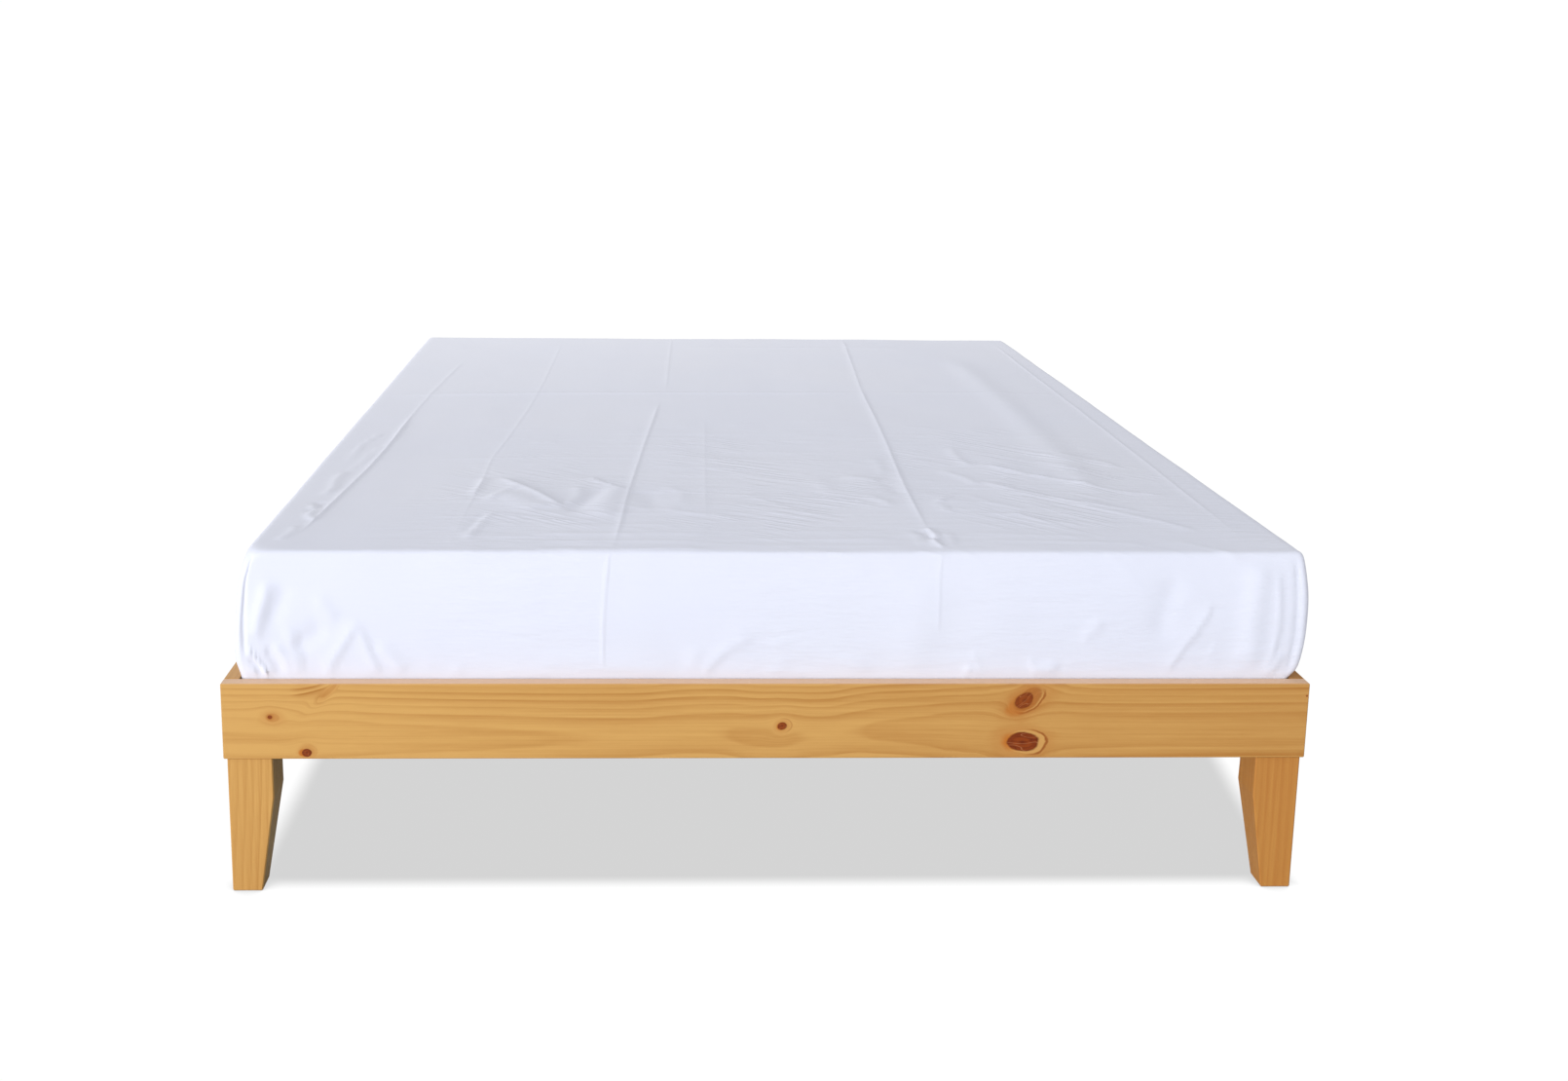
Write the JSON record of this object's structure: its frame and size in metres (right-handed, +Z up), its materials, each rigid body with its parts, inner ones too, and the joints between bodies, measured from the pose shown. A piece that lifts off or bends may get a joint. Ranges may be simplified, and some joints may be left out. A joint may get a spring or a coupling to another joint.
{
  "type": "double bed base",
  "caption": "Low solid pine double bed base with tapered corner legs, slats and a centre beam, carrying a mattress in a tucked white cotton sheet.",
  "frame": {"origin": "on the floor, under the middle of the bed", "axes": "+Y from the foot end to the head end, +Z up, +X to the right as seen from the foot end"},
  "size_m": [1.45, 1.95, 0.476],
  "materials": {
    "pine_rail": "knotty pine under clear honey-toned satin varnish",
    "pine_leg": "clear pine under honey-toned satin varnish",
    "pine_raw": "planed pine, unvarnished",
    "beech": "turned beech",
    "zinc_steel": "bright zinc plate",
    "ticking": "woven mattress ticking",
    "cotton": "plain white cotton sheet, pressed folds"
  },
  "bodies": {
    "frame": {"foot_rail": "pine_rail", "head_rail": "pine_rail", "side_rail_left": "pine_rail", "side_rail_right": "pine_rail", "leg_foot_left": "pine_leg", "leg_foot_right": "pine_leg", "leg_head_left": "pine_leg", "leg_head_right": "pine_leg", "centre_leg": "pine_leg", "corner_block_foot_left": "pine_raw", "corner_block_foot_right": "pine_raw", "corner_block_head_left": "pine_raw", "corner_block_head_right": "pine_raw", "side_cleat_left": "pine_raw", "side_cleat_right": "pine_raw", "centre_beam": "pine_raw", "slat_01": "pine_raw", "slat_02": "pine_raw", "slat_03": "pine_raw", "slat_04": "pine_raw", "slat_05": "pine_raw", "slat_06": "pine_raw", "slat_07": "pine_raw", "slat_08": "pine_raw", "slat_09": "pine_raw", "slat_10": "pine_raw", "slat_11": "pine_raw", "slat_12": "pine_raw", "slat_13": "pine_raw", "dowel_foot_left_lower": "beech", "dowel_foot_left_upper": "beech", "dowel_foot_right_lower": "beech", "dowel_foot_right_upper": "beech", "dowel_head_left_lower": "beech", "dowel_head_left_upper": "beech", "dowel_head_right_lower": "beech", "dowel_head_right_upper": "beech", "leg_bolt_foot_left": "zinc_steel", "leg_bolt_foot_right": "zinc_steel", "leg_bolt_head_left": "zinc_steel", "leg_bolt_head_right": "zinc_steel", "leg_washer_foot_left": "zinc_steel", "leg_washer_foot_right": "zinc_steel", "leg_washer_head_left": "zinc_steel", "leg_washer_head_right": "zinc_steel", "leg_nut_foot_left": "zinc_steel", "leg_nut_foot_right": "zinc_steel", "leg_nut_head_left": "zinc_steel", "leg_nut_head_right": "zinc_steel", "centre_leg_bolt": "zinc_steel", "beam_hanger_foot": "zinc_steel", "beam_hanger_head": "zinc_steel"},
    "bedding": {"mattress": "ticking", "bed_sheet": "cotton"}
  },
  "joints": [
    {"name": "mattress_lift", "type": "slide", "parent": "frame", "child": "bedding", "axis": [0, 0, 1], "range_m": [0, 0.3]}
  ]
}
